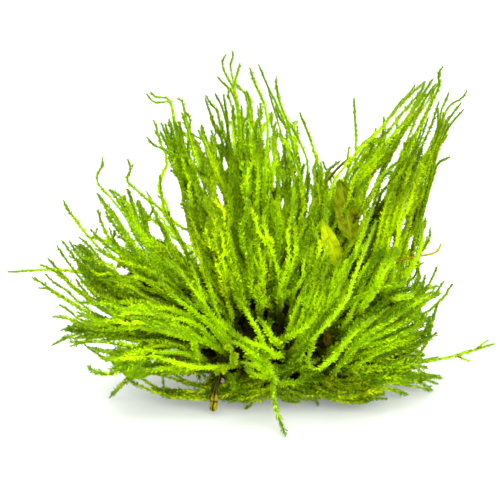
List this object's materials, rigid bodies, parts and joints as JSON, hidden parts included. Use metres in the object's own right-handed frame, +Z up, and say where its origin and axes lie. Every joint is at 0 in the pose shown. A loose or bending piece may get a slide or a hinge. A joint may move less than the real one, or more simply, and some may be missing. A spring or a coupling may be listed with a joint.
{
  "type": "aquarium moss on driftwood",
  "caption": "Bushy clump of long spiky moss shoots in radiating tufts, grown on a short forked piece of driftwood that rests on a sawn flat underside.",
  "frame": {"origin": "on the surface that the wood rests on, below the centre of the whole clump's box", "axes": "+X to the right of the view in the picture, along the clump's length, +Y away from the viewer, +Z up"},
  "size_m": [0.1236, 0.0842, 0.0847],
  "materials": {
    "driftwood": "wet dark brown driftwood, fluted and knobbly",
    "twig": "wet yellow-brown twig with dark bark lines",
    "moss": "wet bright yellow-green moss leaves, darker green tips",
    "dead_stem": "dark brown dead stem",
    "pale_stem": "bare orange-brown stem",
    "leaf_scrap": "thin wet translucent leaf, yellow-green to olive"
  },
  "bodies": {
    "root": {"driftwood_trunk": "driftwood", "driftwood_fork_left": "driftwood", "driftwood_fork_right": "driftwood", "driftwood_stub": "driftwood", "driftwood_twig": "twig", "moss_top_left_outer": "moss", "moss_top_left_inner": "moss", "moss_top_left_front": "moss", "moss_top_fork": "moss", "moss_top_tall": "moss", "moss_top_mid": "moss", "moss_top_mid_right": "moss", "moss_top_right": "moss", "moss_top_right_front": "moss", "moss_notch": "moss", "moss_right_fan_left": "moss", "moss_right_fan_back": "moss", "moss_right_fan_tall": "moss", "moss_far_right_front": "moss", "moss_far_right_back": "moss", "moss_far_right_side": "moss", "moss_right_front_up": "moss", "moss_right_front_mid": "moss", "moss_right_mid": "moss", "moss_right_low": "moss", "moss_right_floor": "moss", "moss_right_floor_front": "moss", "moss_front_bright": "moss", "moss_front_hook": "moss", "moss_front_up_mid": "moss", "moss_front_up_left": "moss", "moss_front_up_right": "moss", "moss_front_left_up": "moss", "moss_front_left": "moss", "moss_front_point": "moss", "moss_left_up_inner": "moss", "moss_left_up_curly": "moss", "moss_left_up_outer": "moss", "moss_left_up_low": "moss", "moss_left_top": "moss", "moss_left_mid": "moss", "moss_left_mid_front": "moss", "moss_left_low": "moss", "moss_left_low_front": "moss", "moss_left_floor": "moss", "moss_back_top": "moss", "moss_back_left": "moss", "moss_back_right": "moss", "moss_back_mid": "moss", "moss_back_low_left": "moss", "moss_back_low_right": "moss", "moss_shoot_upright": "moss", "moss_shoot_far_left": "moss", "moss_shoot_right_long": "moss", "moss_shoot_front": "moss", "stem_dark": "dead_stem", "stem_pale": "pale_stem", "leaf_bright": "leaf_scrap", "leaf_olive": "leaf_scrap", "leaf_film": "leaf_scrap"}
  },
  "joints": []
}
